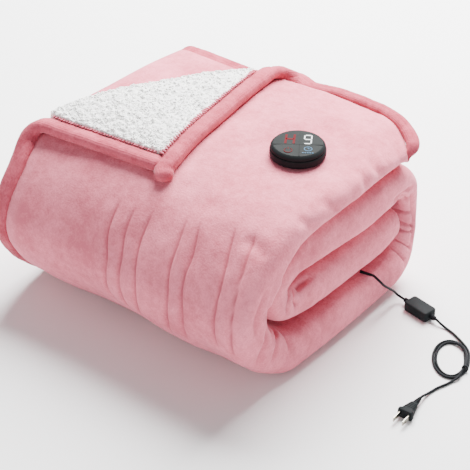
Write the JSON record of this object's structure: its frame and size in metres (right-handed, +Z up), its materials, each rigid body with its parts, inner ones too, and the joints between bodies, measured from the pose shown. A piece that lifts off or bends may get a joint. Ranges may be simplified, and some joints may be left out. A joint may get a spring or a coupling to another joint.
{
  "type": "folded heated blanket",
  "caption": "Soft electric throw folded into a thick bundle, one corner turned back over its fleece lining, with a round controller, a cord with an in-line box and a plug.",
  "frame": {"origin": "bottom centre of the folded bundle, where it rests on the surface", "axes": "+X along the bundle from its bound left end to its puffy right-hand folds, the longest extent; +Y from the front fold to the back edge; +Z up"},
  "size_m": [0.5901, 0.4189, 0.2562],
  "materials": {
    "flannel": "soft pile flannel",
    "binding": "ribbed plush binding",
    "sherpa": "curly fleece",
    "case": "satin",
    "face": "semi-gloss",
    "cord": "satin",
    "blades": "bright"
  },
  "bodies": {
    "root": {"flannel_blanket": "flannel", "sherpa_lining": "sherpa", "binding_side": "binding", "binding_end": "binding", "controller_base": "case", "controller_face": "face", "cord_sleeve": "cord", "inline_box": "case", "box_nub_in": "cord", "box_nub_out": "cord", "cord_lead": "cord", "cord_main": "cord", "cord_coil": "cord", "cord_tail": "cord", "plug_relief": "cord", "plug_body": "cord", "plug_blade_left": "blades", "plug_blade_right": "blades"}
  },
  "joints": []
}
